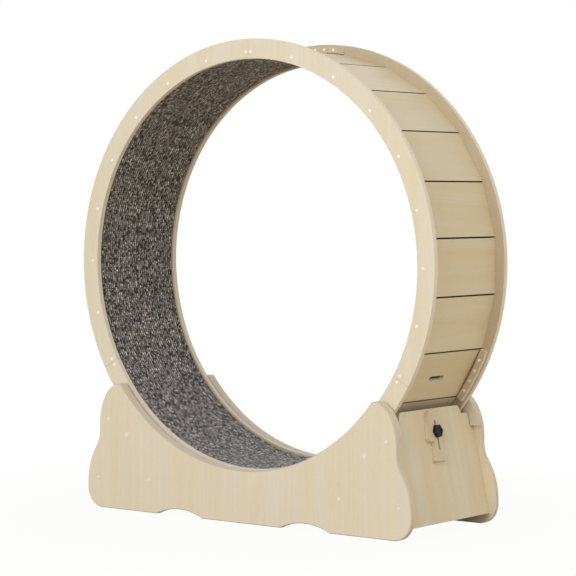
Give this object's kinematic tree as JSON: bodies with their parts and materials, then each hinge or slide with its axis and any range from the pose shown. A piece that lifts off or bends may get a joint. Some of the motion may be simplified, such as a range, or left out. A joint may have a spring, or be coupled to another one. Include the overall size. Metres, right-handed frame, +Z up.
{
  "type": "cat exercise wheel",
  "caption": "Free-standing plywood exercise wheel for a cat: a carpeted slatted drum that turns on grooved rollers in a low stand, with a sliding lock.",
  "frame": {"origin": "on the floor under the middle of the drum", "axes": "+Z up, +Y along the drum's axis towards the back, +X towards the lock end"},
  "size_m": [1, 0.342, 1.075],
  "materials": {
    "birch_plywood": "sanded, clear matt oil",
    "running_mat": "ribbed needle-felt, heathered",
    "screw_cap": "moulded, satin",
    "zinc_steel": "zinc plated",
    "bearing_steel": "ground",
    "roller_nylon": "turned nylon",
    "knob_plastic": "moulded, satin"
  },
  "bodies": {
    "stand": {"front_side_panel": "birch_plywood", "back_side_panel": "birch_plywood", "front_roller_plate": "birch_plywood", "back_roller_plate": "birch_plywood", "left_end_panel": "birch_plywood", "right_end_panel": "birch_plywood", "left_cross_rail": "birch_plywood", "right_cross_rail": "birch_plywood", "panel_screws": "zinc_steel", "panel_screw_caps": "screw_cap", "axle_studs": "zinc_steel", "axle_nuts": "zinc_steel", "bearing_inner_rings": "bearing_steel", "lock_bolt": "zinc_steel"},
    "drum": {"front_ring_segment_1": "birch_plywood", "front_ring_segment_2": "birch_plywood", "front_ring_segment_3": "birch_plywood", "back_ring_segment_1": "birch_plywood", "back_ring_segment_2": "birch_plywood", "back_ring_segment_3": "birch_plywood", "splice_plates": "birch_plywood", "slat_01": "birch_plywood", "slat_02": "birch_plywood", "slat_03": "birch_plywood", "slat_04": "birch_plywood", "slat_05": "birch_plywood", "slat_06": "birch_plywood", "slat_07": "birch_plywood", "slat_08": "birch_plywood", "slat_09": "birch_plywood", "slat_10": "birch_plywood", "slat_11": "birch_plywood", "slat_12": "birch_plywood", "slat_13": "birch_plywood", "slat_14": "birch_plywood", "slat_15": "birch_plywood", "slat_16": "birch_plywood", "slat_17": "birch_plywood", "slat_18": "birch_plywood", "slat_19": "birch_plywood", "slat_20": "birch_plywood", "slat_21": "birch_plywood", "slat_22": "birch_plywood", "slat_24": "birch_plywood", "lock_slat": "birch_plywood", "running_mat": "running_mat", "slat_screws": "zinc_steel", "ring_screw_caps": "screw_cap", "splice_screws": "zinc_steel", "splice_screw_caps": "screw_cap"},
    "lock_slider": {"lock_slider": "birch_plywood"},
    "lock_knob": {"lock_knob": "knob_plastic"},
    "front_right_roller": {"front_right_roller": "roller_nylon"},
    "back_right_roller": {"back_right_roller": "roller_nylon"},
    "front_left_roller": {"front_left_roller": "roller_nylon"},
    "back_left_roller": {"back_left_roller": "roller_nylon"}
  },
  "joints": [
    {"name": "drum_spin", "type": "hinge", "parent": "stand", "child": "drum", "pos_m": [0, 0, 0.575], "axis": [0, 1, 0], "continuous": true},
    {"name": "front_right_roller_spin", "type": "hinge", "parent": "stand", "child": "front_right_roller", "pos_m": [0.33941, -0.135, 0.17407], "axis": [0, 1, 0], "continuous": true},
    {"name": "back_right_roller_spin", "type": "hinge", "parent": "stand", "child": "back_right_roller", "pos_m": [0.33941, 0.135, 0.17407], "axis": [0, 1, 0], "continuous": true},
    {"name": "front_left_roller_spin", "type": "hinge", "parent": "stand", "child": "front_left_roller", "pos_m": [-0.33941, -0.135, 0.17407], "axis": [0, 1, 0], "continuous": true},
    {"name": "back_left_roller_spin", "type": "hinge", "parent": "stand", "child": "back_left_roller", "pos_m": [-0.33941, 0.135, 0.17407], "axis": [0, 1, 0], "continuous": true},
    {"name": "lock_slide", "type": "slide", "parent": "stand", "child": "lock_slider", "axis": [-0.2278, 0, 0.9737], "range_m": [-0.02, 0.027]},
    {"name": "lock_knob_turn", "type": "hinge", "parent": "stand", "child": "lock_knob", "pos_m": [0.39544, 0, 0.21462], "axis": [0.9737, 0, 0.2278], "range_deg": [0, 270]}
  ],
  "couplings": [
    {"joint": "front_right_roller_spin", "follows": "drum_spin", "ratio": -20},
    {"joint": "back_right_roller_spin", "follows": "drum_spin", "ratio": -20},
    {"joint": "front_left_roller_spin", "follows": "drum_spin", "ratio": -20},
    {"joint": "back_left_roller_spin", "follows": "drum_spin", "ratio": -20}
  ]
}
